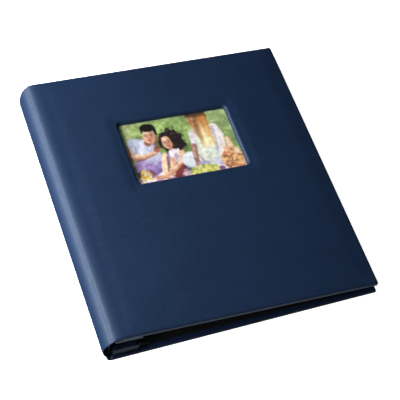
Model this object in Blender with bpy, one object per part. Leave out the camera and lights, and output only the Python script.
"""Post-bound scrapbook album with a padded, windowed front cover.

Album coordinates: X runs from the spine to the fore edge, Y from the tail to the head,
Z up from the table that the back cover lies on. The frame's origin is on the table, under
the middle of the closed album. Everything that swings open turns about -Y.
"""

import math

import bmesh
import bpy
from mathutils import Vector

MM = 0.001

# ---- driving dimensions ---------------------------------------------------------------
COVER_WIDTH = 260 * MM
COVER_HEIGHT = 294 * MM
SPINE_EDGE_X = -127.7 * MM  # where the back cover meets the spine; centres the closed album
HALF_HEIGHT = COVER_HEIGHT / 2

SKIN = 0.7 * MM  # leatherette on the covers
BOARD = 2.0 * MM
PADDING = 1.2 * MM
PAPER = 0.3 * MM
GAP = 0.2 * MM  # clearance kept between pieces that are glued or stacked
TURN_IN = 14 * MM  # width of the leatherette folded over onto a board's inner face
ENDPAPER_SIDE = 5 * MM  # the endpapers stop this far short of the head and tail
ENDPAPER_END = 6 * MM  # and of the fore edge
JOINT_CLEAR = 0.3 * MM  # the spine and the front cover each stop this short of their joints
CUT_BEYOND = 10 * MM  # how far a cutting tool reaches past what it cuts

# Back cover, measured up from the table.
BACK_LIP = Vector((-1.5 * MM, 4 * MM))  # outer line where back cover and spine meet (x, z)
BACK_THICKNESS = 2 * SKIN + BOARD + 2 * GAP
BACK_JOINT = 8 * MM  # board-free strip beside the spine
BACK_EDGE = 1.5 * MM  # radius at the fore edge
BACK_END_EDGE = 1.4 * MM  # radius at the head and tail

# Front cover: it slopes down from the tall spine to the fore edge.
CREASE = Vector((2.4 * MM, 32.8 * MM))  # outer line where spine and front cover meet (x, z)
COVER_SLOPE = math.atan(0.0773)
SHOULDER_RISE = 4 * MM  # the cover's face stands this far above the crease
SHOULDER_RUN = 14 * MM
FRONT_RUN = 258.4 * MM  # crease to fore edge, along the cover
FACE_ROUND = 2.5 * MM
UNDER_ROUND = 1.2 * MM

# Window for a print, in the front cover.
WINDOW_WIDTH = 110.5 * MM
WINDOW_HEIGHT = 72.3 * MM
WINDOW_RIM = 3 * MM  # radius of the rolled leatherette edge
CUT_PAST = 0.05 * MM  # a solid that is trimmed, or a flared cutter, ends this far past a face
WINDOW_CORNER = 2 * MM
WINDOW_CENTRE = Vector((129.5 * MM, 46.4 * MM))  # along the cover from the crease, and y
PRINT_WIDTH = 127 * MM
PRINT_HEIGHT = 89 * MM

# Spine wrap.
SPINE_LOWER = Vector((-6 * MM, 8 * MM))  # curve handle, from the lip
SPINE_UPPER = Vector((-7.5 * MM, -7 * MM))  # curve handle, from the crease
SPINE_SKIN = 0.9 * MM
LINER_X = 1.0 * MM
LINER_BOTTOM = 5.2 * MM
LINER_HEIGHT = 23 * MM
LINER = 0.8 * MM
LINER_SIDE = 4 * MM  # the liner stops this far short of the head and tail

# Leaves: a card in a clear top-loading sleeve, each with its own binding strip.
LEAVES = 5
LEAF = 0.85 * MM
LEAF_PITCH = 1.0 * MM
FILM = 0.2 * MM
CARD = 0.25 * MM
CARD_FREE = (LEAF - 2 * FILM - CARD) / 2
SIDE_SEAM = 1.5 * MM
CARD_CLEAR = 0.5 * MM
CARD_SUNK = 2 * MM  # the card's top edge lies this far inside the sleeve's mouth
LEAF_HEIGHT = 284 * MM
LEAF_END_X = 250 * MM
FIRST_HINGE_X = 32.5 * MM  # hinge line of the top leaf
HINGE_STAGGER = 2.2 * MM  # each lower leaf hinges this much further from the spine
HINGE_SPACE = 0.25 * MM

# Binding block: flap, leaf strips, clamp strip and three posts.
BLOCK_LEFT = 4 * MM
BLOCK_OVERHANG = 4.6 * MM  # flap and clamp strip reach past the leaves at each end
POST_X = 15 * MM
POST_PITCH = 108 * MM
POST_HOLE = 2.9 * MM
FLAP = 0.8 * MM
FLAP_END_X = 29.5 * MM
CLAMP = 6.4 * MM  # thick, because it is a padded strip
CLAMP_END_X = 28.5 * MM
HINGE_LINING = 3 * MM
BARREL_RADIUS = 2.5 * MM
BARREL_BORE = 1.75 * MM
BARREL_HEAD = 0.8 * MM
BARREL_FLOOR = 1.5 * MM  # solid metal under the bore
BARREL_SHORT = 1.5 * MM  # the barrel stops this far below the clamp strip's top
SHANK_RADIUS = 1.68 * MM
SHANK = 7 * MM
HEAD_RADIUS = 5.5 * MM
HEAD = 1.0 * MM
SLOT_WIDTH = 1.2 * MM
SLOT_DEPTH = 0.5 * MM
ROUND_SEGMENTS = 32

# ---- levels that follow from them -----------------------------------------------------
BOARD_BOTTOM = SKIN + GAP
BOARD_TOP = BOARD_BOTTOM + BOARD
ENDPAPER_BOTTOM = BACK_THICKNESS + GAP
FLAP_BOTTOM = ENDPAPER_BOTTOM
LEAF_BOTTOM = FLAP_BOTTOM + FLAP + 0.25 * MM
CLAMP_BOTTOM = LEAF_BOTTOM + LEAVES * LEAF_PITCH
CLAMP_TOP = CLAMP_BOTTOM + CLAMP
SCREW_SEAT = CLAMP_TOP + GAP


def clear_scene():
    for obj in list(bpy.data.objects):
        bpy.data.objects.remove(obj)


def material(name, colour, roughness, metallic=0.0, alpha=1.0):
    made = bpy.data.materials.new(name)
    made.use_nodes = True
    shader = made.node_tree.nodes["Principled BSDF"]
    shader.inputs["Base Color"].default_value = (*colour, 1)
    shader.inputs["Roughness"].default_value = roughness
    shader.inputs["Metallic"].default_value = metallic
    shader.inputs["Alpha"].default_value = alpha
    return made


def empty(name, location, parent=None, tilt=0.0):
    made = bpy.data.objects.new(name, None)
    made.location = location
    made.rotation_euler = (0, tilt, 0)
    made.parent = parent
    bpy.context.scene.collection.objects.link(made)
    return made


def solid(name, bm, parent, finish):
    """Closes a bmesh into a named object under its parent empty."""
    bmesh.ops.recalc_face_normals(bm, faces=bm.faces)
    mesh = bpy.data.meshes.new(name)
    bm.to_mesh(mesh)
    bm.free()
    if finish:
        mesh.materials.append(finish)
    obj = bpy.data.objects.new(name, mesh)
    obj.parent = parent
    bpy.context.scene.collection.objects.link(obj)
    return obj


def cutter(obj):
    obj.hide_render = True
    obj.display_type = "WIRE"
    return obj


def boolean(obj, other, operation="DIFFERENCE"):
    cut = obj.modifiers.new(f"{operation.lower()}_{other.name}", "BOOLEAN")
    cut.operation = operation
    cut.solver = "EXACT"
    cut.object = cutter(other)
    return obj


# ---- outlines -------------------------------------------------------------------------
def bezier(p0, p1, p2, p3, steps):
    points = []
    for i in range(steps + 1):
        t = i / steps
        s = 1 - t
        points.append(p0 * s**3 + p1 * 3 * s * s * t + p2 * 3 * s * t * t + p3 * t**3)
    return points


def arc(centre, radius, start, end, steps=5):
    """Points on a circle in a plane, from one angle to the other in degrees."""
    points = []
    for i in range(steps + 1):
        angle = math.radians(start + (end - start) * i / steps)
        points.append(centre + Vector((math.cos(angle), math.sin(angle))) * radius)
    return points


def offset_line(points, distance):
    """The line moved to the right of its direction of travel."""
    moved = []
    for i, point in enumerate(points):
        before, after = points[max(i - 1, 0)], points[min(i + 1, len(points) - 1)]
        along = (after - before).normalized()
        moved.append(point + Vector((along.y, -along.x)) * distance)
    return moved


def shorten(line, end, beside):
    """Moves a line's end point towards the point beside it, to clear the joint there."""
    span = line[beside] - line[end]
    line[end] = line[end] + span * (JOINT_CLEAR / span.length)


def spine_line():
    """The wrap's outer line, from the back cover's lip up to the crease, about the lip."""
    top = CREASE - BACK_LIP
    return bezier(Vector((0, 0)), SPINE_LOWER, top + SPINE_UPPER, top, 12)


def shoulder_line():
    """The front cover's outer line, from the crease up to its flat face, about the crease."""
    return bezier(
        Vector((0, 0)),
        Vector((2.6 * MM, 2.9 * MM)),
        Vector((7 * MM, SHOULDER_RISE)),
        Vector((SHOULDER_RUN, SHOULDER_RISE)),
        8,
    )


def lip_line():
    """The back cover's outer line, from its lip down to the table."""
    return bezier(
        BACK_LIP,
        BACK_LIP + Vector((1.3 * MM, -2.1 * MM)),
        Vector((0, 0)),
        Vector((3 * MM, 0)),
        6,
    )


# ---- solids ---------------------------------------------------------------------------
def prism(name, outline, y_low, y_high, parent, finish=None):
    """An XZ outline drawn out along Y."""
    bm = bmesh.new()
    face = bm.faces.new([bm.verts.new((p.x, y_low, p.y)) for p in outline])
    drawn = bmesh.ops.extrude_face_region(bm, geom=[face])["geom"]
    ends = [v for v in drawn if isinstance(v, bmesh.types.BMVert)]
    bmesh.ops.translate(bm, verts=ends, vec=(0, y_high - y_low, 0))
    return solid(name, bm, parent, finish)


def plate(name, low, high, parent, finish=None, corner=0.0, top_round=0.0):
    """A flat sheet or block, with rounded upright corners or rounded upper edges."""
    bm = bmesh.new()
    bmesh.ops.create_cube(bm, size=1)
    size = Vector(high) - Vector(low)
    bmesh.ops.scale(bm, vec=size, verts=bm.verts)
    bmesh.ops.translate(bm, vec=(Vector(high) + Vector(low)) / 2, verts=bm.verts)
    if corner:
        upright = [e for e in bm.edges if abs((e.verts[0].co - e.verts[1].co).z) > size.z / 2]
        bmesh.ops.bevel(bm, geom=upright, offset=corner, segments=4, profile=0.5, affect="EDGES")
    if top_round:
        upper = [e for e in bm.edges if min(v.co.z for v in e.verts) > high[2] - size.z / 2]
        bmesh.ops.bevel(bm, geom=upper, offset=top_round, segments=3, profile=0.5, affect="EDGES")
    return solid(name, bm, parent, finish)


def cylinder(name, radius, low, high, centre, parent, finish=None):
    bm = bmesh.new()
    bmesh.ops.create_cone(
        bm, cap_ends=True, segments=ROUND_SEGMENTS, radius1=radius, radius2=radius, depth=high - low
    )
    bmesh.ops.translate(bm, vec=(centre[0], centre[1], (high + low) / 2), verts=bm.verts)
    return solid(name, bm, parent, finish)


def rounded_rectangle(half_x, half_y, radius, steps=5):
    points = []
    for corner, (sx, sy) in enumerate(((1, 1), (-1, 1), (-1, -1), (1, -1))):
        centre = Vector((sx * (half_x - radius), sy * (half_y - radius)))
        points += arc(centre, radius, corner * 90, corner * 90 + 90, steps)
    return points


def window_plug(name, inset, rim, low, high, parent):
    """The window's space as a solid that flares out at the cover's face.

    inset moves its walls outward, and rim is the radius of the flare.
    """
    face = SHOULDER_RISE
    centre_z = face - WINDOW_RIM
    sections = [(low, 0.0)]
    for point in arc(Vector((rim, 0)), rim, 180, 90, 5):
        sections.append((centre_z + point.y, point.x))
    sections.append((high, rim))
    bm = bmesh.new()
    rings = []
    for z, out in sections:
        spread = inset + out
        outline = rounded_rectangle(
            WINDOW_WIDTH / 2 + spread, WINDOW_HEIGHT / 2 + spread, WINDOW_CORNER + spread
        )
        rings.append(
            [bm.verts.new((WINDOW_CENTRE.x + p.x, WINDOW_CENTRE.y + p.y, z)) for p in outline]
        )
    for lower, upper in zip(rings, rings[1:]):
        for i in range(len(lower)):
            j = (i + 1) % len(lower)
            bm.faces.new((lower[i], lower[j], upper[j], upper[i]))
    bm.faces.new(rings[0])
    bm.faces.new(rings[-1])
    return solid(name, bm, parent, None)


def window_hole(obj, spread):
    """Cuts a straight-sided window, larger than the visible one by spread on each side."""
    half = Vector((WINDOW_WIDTH / 2 + spread, WINDOW_HEIGHT / 2 + spread))
    low, high = WINDOW_CENTRE - half, WINDOW_CENTRE + half
    hole = plate(
        f"cut_{obj.name}_window",
        (low.x, low.y, -20 * MM),
        (high.x, high.y, 20 * MM),
        obj.parent,
        corner=3 * MM,
    )
    return boolean(obj, hole)


def post_places():
    return [Vector((POST_X, i * POST_PITCH)) for i in (-1, 0, 1)]


def post_holes(obj, radius=POST_HOLE):
    for i, place in enumerate(post_places(), 1):
        hole = cylinder(f"cut_{obj.name}_{i}", radius, -5 * MM, 40 * MM, place, obj.parent)
        boolean(obj, hole)
    return obj


def shell_ends(name, z_low, z_high, radius_low, radius_high, parent):
    """A YZ outline with rounded edges drawn along X, which trims a cover's head and tail."""
    outline = []
    corners = (
        (1, z_low, radius_low, -90, 1),
        (1, z_high, radius_high, 0, -1),
        (-1, z_high, radius_high, 90, -1),
        (-1, z_low, radius_low, 180, 1),
    )
    for side, z, radius, start, inward in corners:
        centre = Vector((side * (HALF_HEIGHT - radius), z + inward * radius))
        outline += arc(centre, radius, start, start + 90)
    bm = bmesh.new()
    face = bm.faces.new([bm.verts.new((-20 * MM, p.x, p.y)) for p in outline])
    drawn = bmesh.ops.extrude_face_region(bm, geom=[face])["geom"]
    ends = [v for v in drawn if isinstance(v, bmesh.types.BMVert)]
    bmesh.ops.translate(bm, verts=ends, vec=(COVER_WIDTH + 40 * MM, 0, 0))
    return solid(name, bm, parent, None)


# ---- back cover and binding block (they stay on the table) ----------------------------
def back_cover(album, looks):
    top = BACK_THICKNESS
    outer = lip_line()
    round_x = COVER_WIDTH - BACK_EDGE
    outline = outer + [Vector((round_x, 0))]
    outline += arc(Vector((round_x, BACK_EDGE)), BACK_EDGE, -90, 0)
    outline += arc(Vector((round_x, top - BACK_EDGE)), BACK_EDGE, 0, 90)
    inner_lip = offset_line(outer, -SKIN)
    outline += [Vector((BACK_JOINT, top)), Vector((BACK_JOINT, SKIN))]
    outline += list(reversed(inner_lip))
    past = HALF_HEIGHT + CUT_PAST
    skin = prism("back_cover_skin", outline, -past, past, album, looks["leather"])
    ends = shell_ends("trim_back_skin", 0, top, BACK_END_EDGE, BACK_END_EDGE, album)
    boolean(skin, ends, "INTERSECT")
    inside = plate(
        "cut_back_board_pocket",
        (BACK_JOINT - 1 * MM, -HALF_HEIGHT + SKIN + GAP, SKIN),
        (COVER_WIDTH - SKIN - GAP, HALF_HEIGHT - SKIN - GAP, top - SKIN),
        album,
    )
    boolean(skin, inside)
    opening = plate(
        "cut_back_turn_in",
        (BACK_JOINT - 1 * MM, -HALF_HEIGHT + TURN_IN, SKIN + 1 * MM),
        (COVER_WIDTH - TURN_IN, HALF_HEIGHT - TURN_IN, CUT_BEYOND),
        album,
    )
    boolean(skin, opening)

    reach = SKIN + 2 * GAP
    plate(
        "back_cover_board",
        (BACK_JOINT, -HALF_HEIGHT + reach, BOARD_BOTTOM),
        (COVER_WIDTH - reach, HALF_HEIGHT - reach, BOARD_TOP),
        album,
        looks["board"],
    )
    plate(
        "back_endpaper",
        (FLAP_END_X + GAP, -HALF_HEIGHT + ENDPAPER_SIDE, ENDPAPER_BOTTOM),
        (COVER_WIDTH - ENDPAPER_END, HALF_HEIGHT - ENDPAPER_SIDE, ENDPAPER_BOTTOM + PAPER),
        album,
        looks["paper"],
    )


def hinge_x(leaf):
    """Leaf 1 is the lowest. Lower leaves hinge further out, so that they stand side by side."""
    return FIRST_HINGE_X + (LEAVES - leaf) * HINGE_STAGGER


def leaf_top(leaf):
    return LEAF_BOTTOM + (leaf - 1) * LEAF_PITCH + LEAF


def binding_block(album, looks):
    half = LEAF_HEIGHT / 2
    flap = plate(
        "back_binding_flap",
        (BLOCK_LEFT, -half - BLOCK_OVERHANG, FLAP_BOTTOM),
        (FLAP_END_X, half + BLOCK_OVERHANG, FLAP_BOTTOM + FLAP),
        album,
        looks["leather"],
    )
    post_holes(flap)
    for leaf in range(1, LEAVES + 1):
        top = leaf_top(leaf)
        strip = plate(
            f"page_{leaf}_binding_strip",
            (BLOCK_LEFT, -half, top - LEAF),
            (hinge_x(leaf) - HINGE_SPACE, half, top),
            album,
            looks["strip"],
        )
        post_holes(strip)
    clamp = rounded_strip(
        "front_binding_strip",
        BLOCK_LEFT,
        CLAMP_END_X,
        CLAMP_BOTTOM,
        CLAMP_TOP,
        half + BLOCK_OVERHANG,
        album,
        looks["leather"],
    )
    post_holes(clamp)


def rounded_strip(name, left, right, low, high, half, parent, finish):
    """A padded strip along Y whose free edge, away from the spine, is a half round."""
    radius = (high - low) / 2
    nose = arc(Vector((right - radius, low + radius)), radius, -90, 90, 10)
    outline = [Vector((left, low)), *nose, Vector((left, high))]
    return prism(name, outline, -half, half, parent, finish)


def posts(album, looks):
    base = BOARD_TOP + GAP
    barrel_top = CLAMP_TOP - BARREL_SHORT
    for i, place in enumerate(post_places(), 1):
        barrel = cylinder(
            f"post_barrel_{i}", BARREL_RADIUS, base, barrel_top, place, album, looks["metal"]
        )
        head = cylinder(
            f"join_barrel_head_{i}", HEAD_RADIUS, base, base + BARREL_HEAD, place, album
        )
        boolean(barrel, head, "UNION")
        bore = cylinder(
            f"cut_barrel_bore_{i}",
            BARREL_BORE,
            base + BARREL_FLOOR,
            barrel_top + CUT_BEYOND,
            place,
            album,
        )
        boolean(barrel, bore)

        axis = empty(f"post_screw_{i}_axis", (place.x, place.y, SCREW_SEAT), album)
        screw = cylinder(
            f"post_screw_{i}", HEAD_RADIUS, 0, HEAD, (0, 0), axis, looks["metal"]
        )
        shank = cylinder(f"join_screw_shank_{i}", SHANK_RADIUS, -SHANK, HEAD / 2, (0, 0), axis)
        boolean(screw, shank, "UNION")
        slot = plate(
            f"cut_screw_slot_{i}",
            (-HEAD_RADIUS, -SLOT_WIDTH / 2, HEAD - SLOT_DEPTH),
            (HEAD_RADIUS, SLOT_WIDTH / 2, HEAD + 1 * MM),
            axis,
        )
        boolean(screw, slot)


# ---- leaves ---------------------------------------------------------------------------
def leaves(album, looks):
    half = LEAF_HEIGHT / 2
    for leaf in range(1, LEAVES + 1):
        x = hinge_x(leaf)
        width = LEAF_END_X - x
        axis = empty(f"page_{leaf}_hinge", (x, 0, leaf_top(leaf)), album)
        sleeve = plate(
            f"page_{leaf}_sleeve", (0, -half, -LEAF), (width, half, 0), axis, looks["film"]
        )
        pocket = plate(
            f"cut_sleeve_pocket_{leaf}",
            (SIDE_SEAM, -half + SIDE_SEAM, -LEAF + FILM),
            (width - SIDE_SEAM, half + CUT_BEYOND, -FILM),
            axis,
        )
        boolean(sleeve, pocket)
        inset = SIDE_SEAM + CARD_CLEAR
        plate(
            f"page_{leaf}_card",
            (inset, -half + inset, -LEAF + FILM + CARD_FREE),
            (width - inset, half - CARD_SUNK, -FILM - CARD_FREE),
            axis,
            looks["card"],
        )


# ---- spine ----------------------------------------------------------------------------
def spine(album, looks):
    axis = empty("spine_hinge", (BACK_LIP.x, 0, BACK_LIP.y), album)
    outer = spine_line()
    inner = offset_line(outer, SPINE_SKIN)
    for line in (outer, inner):
        shorten(line, 0, 1)
        shorten(line, -1, -2)
    outline = outer + list(reversed(inner))
    prism("spine_skin", outline, -HALF_HEIGHT, HALF_HEIGHT, axis, looks["leather"])
    liner = Vector((LINER_X, LINER_BOTTOM)) - BACK_LIP
    plate(
        "spine_liner",
        (liner.x, -HALF_HEIGHT + LINER_SIDE, liner.y),
        (liner.x + LINER, HALF_HEIGHT - LINER_SIDE, liner.y + LINER_HEIGHT),
        axis,
        looks["leather"],
    )
    return axis


# ---- front cover ----------------------------------------------------------------------
def front_levels():
    """Heights of the layers under the cover's face, about the crease."""
    skin_under = SHOULDER_RISE - SKIN
    padding_top = skin_under - GAP
    padding_bottom = padding_top - PADDING
    board_top = padding_bottom - GAP
    board_bottom = board_top - BOARD
    turn_top = board_bottom - GAP
    turn_bottom = turn_top - SKIN
    return skin_under, padding_top, padding_bottom, board_top, board_bottom, turn_top, turn_bottom


def front_cover(spine_axis, looks):
    hinge = CREASE - BACK_LIP
    axis = empty("front_cover_hinge", (hinge.x, 0, hinge.y), spine_axis, COVER_SLOPE)
    levels = front_levels()
    skin_under, padding_top, padding_bottom, board_top, board_bottom, turn_top, turn_bottom = levels
    front_skin(axis, looks, skin_under, board_bottom, turn_top, turn_bottom)

    reach = SKIN + 2 * GAP
    board = plate(
        "front_cover_board",
        (SHOULDER_RUN, -HALF_HEIGHT + reach, board_bottom),
        (FRONT_RUN - reach, HALF_HEIGHT - reach, board_top),
        axis,
        looks["board"],
    )
    window_hole(board, SKIN + GAP)

    padding(axis, looks, padding_top, padding_bottom)
    plate(
        "cover_photo",
        (WINDOW_CENTRE.x - PRINT_WIDTH / 2, WINDOW_CENTRE.y - PRINT_HEIGHT / 2, turn_top - PAPER),
        (WINDOW_CENTRE.x + PRINT_WIDTH / 2, WINDOW_CENTRE.y + PRINT_HEIGHT / 2, turn_top),
        axis,
        looks["print"],
    )
    paper_top = turn_bottom - GAP
    plate(
        "front_endpaper",
        (FLAP_END_X + GAP, -HALF_HEIGHT + ENDPAPER_SIDE, paper_top - PAPER),
        (FRONT_RUN - ENDPAPER_END, HALF_HEIGHT - ENDPAPER_SIDE, paper_top),
        axis,
        looks["paper"],
    )
    rounded_strip(
        "front_hinge_lining",
        BLOCK_LEFT,
        FLAP_END_X,
        paper_top - HINGE_LINING,
        paper_top,
        HALF_HEIGHT - 1 * MM,
        axis,
        looks["leather"],
    )


def front_skin(axis, looks, skin_under, board_bottom, turn_top, turn_bottom):
    edge = UNDER_ROUND
    shoulder = shoulder_line()
    under = offset_line(shoulder, SKIN)
    shorten(shoulder, 0, 1)
    shorten(under, 0, 1)
    outline = shoulder + arc(
        Vector((FRONT_RUN - FACE_ROUND, SHOULDER_RISE - FACE_ROUND)), FACE_ROUND, 90, 0
    )
    outline += arc(Vector((FRONT_RUN - edge, turn_bottom + edge)), edge, 0, -90)
    outline += [Vector((SHOULDER_RUN, turn_bottom)), Vector((SHOULDER_RUN, skin_under))]
    outline += list(reversed(under[:-1]))
    past = HALF_HEIGHT + CUT_PAST
    skin = prism("front_cover_skin", outline, -past, past, axis, looks["leather"])
    ends = shell_ends("trim_front_skin", turn_bottom, SHOULDER_RISE, edge, FACE_ROUND, axis)
    boolean(skin, ends, "INTERSECT")

    pocket = plate(
        "cut_front_board_pocket",
        (SHOULDER_RUN - 2 * MM, -HALF_HEIGHT + SKIN + GAP, turn_top),
        (FRONT_RUN - SKIN - GAP, HALF_HEIGHT - SKIN - GAP, skin_under),
        axis,
        top_round=1.6 * MM,
    )
    rim = WINDOW_RIM - SKIN + CUT_PAST
    well = window_plug("keep_window_wall", SKIN, rim, -10 * MM, 10 * MM, axis)
    boolean(pocket, well)
    boolean(skin, pocket)
    opening = plate(
        "cut_front_turn_in",
        (SHOULDER_RUN - 2 * MM, -HALF_HEIGHT + TURN_IN, -10 * MM),
        (FRONT_RUN - TURN_IN, HALF_HEIGHT - TURN_IN, board_bottom),
        axis,
    )
    boolean(skin, opening)
    boolean(skin, window_plug("cut_window", 0, WINDOW_RIM + CUT_PAST, -12 * MM, 12 * MM, axis))


def padding(axis, looks, padding_top, padding_bottom):
    """Wadding under the leatherette, with a thin nose that fills the shoulder at the spine."""
    reach = SKIN + 2 * GAP
    chamfer = 1.2 * MM
    under = offset_line(shoulder_line(), SKIN + GAP)[2:]
    end = FRONT_RUN - reach
    outline = under + [
        Vector((end - chamfer, padding_top)),
        Vector((end, padding_top - chamfer * 0.8)),
        Vector((end, padding_bottom)),
        Vector((SHOULDER_RUN - 1 * MM, padding_bottom)),
    ]
    outline += [under[0] + Vector((0.4 * MM, -0.6 * MM))]
    pad = prism(
        "front_cover_padding", outline, -HALF_HEIGHT + 2.2 * MM, HALF_HEIGHT - 2.2 * MM, axis,
        looks["wadding"],
    )
    window_hole(pad, WINDOW_RIM + GAP)


def finishes():
    return {
        "leather": material("navy_leatherette", (0.008, 0.020, 0.052), 0.5),
        "board": material("grey_board", (0.32, 0.30, 0.27), 0.9),
        "wadding": material("white_wadding", (0.75, 0.75, 0.72), 0.95),
        "paper": material("black_paper", (0.012, 0.012, 0.014), 0.8),
        "card": material("black_card", (0.010, 0.010, 0.012), 0.85),
        "film": material("clear_film", (0.9, 0.92, 0.95), 0.12, alpha=0.25),
        "strip": material("black_strip", (0.014, 0.015, 0.02), 0.5),
        "print": material("photo_print", (0.35, 0.42, 0.16), 0.3),
        "metal": material("nickel_post", (0.62, 0.62, 0.60), 0.25, metallic=1.0),
    }


def main():
    clear_scene()
    looks = finishes()
    album = empty("album", (SPINE_EDGE_X, 0, 0))
    back_cover(album, looks)
    binding_block(album, looks)
    posts(album, looks)
    leaves(album, looks)
    front_cover(spine(album, looks), looks)


main()
